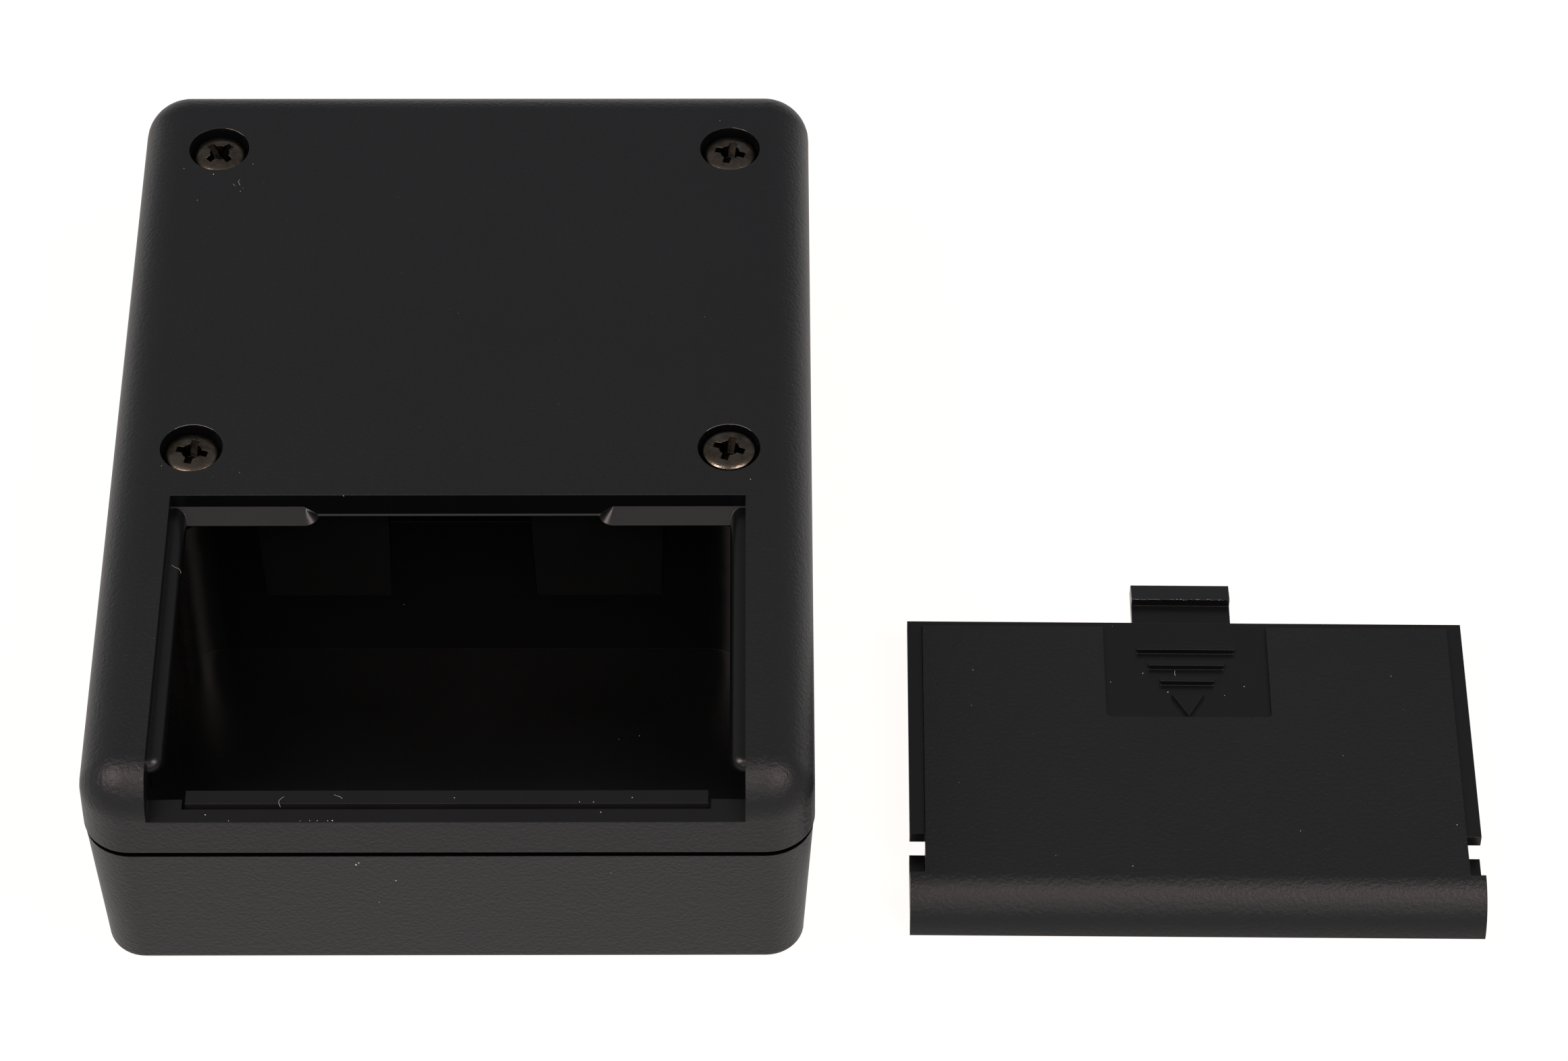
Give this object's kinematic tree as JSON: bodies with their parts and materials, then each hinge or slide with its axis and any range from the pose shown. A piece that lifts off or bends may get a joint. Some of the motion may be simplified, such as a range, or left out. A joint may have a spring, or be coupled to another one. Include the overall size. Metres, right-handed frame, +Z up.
{
  "type": "handheld enclosure",
  "caption": "Black moulded handheld case lying face down, two screwed half shells with an open battery compartment, its slide-in snap cover lying beside it",
  "frame": {"origin": "centre of the case's front face, which lies on the table", "axes": "+Z up, out of the case's back; +Y along the case away from the battery end; +X to the right, towards the battery cover"},
  "size_m": [0.1527, 0.108, 0.0305],
  "materials": {
    "black_plastic": "fine spark-eroded grain on the outside, smoother in the opening and on the cover's flanges",
    "screw_steel": "dull brownish plated steel"
  },
  "bodies": {
    "root": {"front_shell": "black_plastic", "back_shell": "black_plastic", "battery_cover": "black_plastic", "case_screws": "screw_steel"}
  },
  "joints": []
}
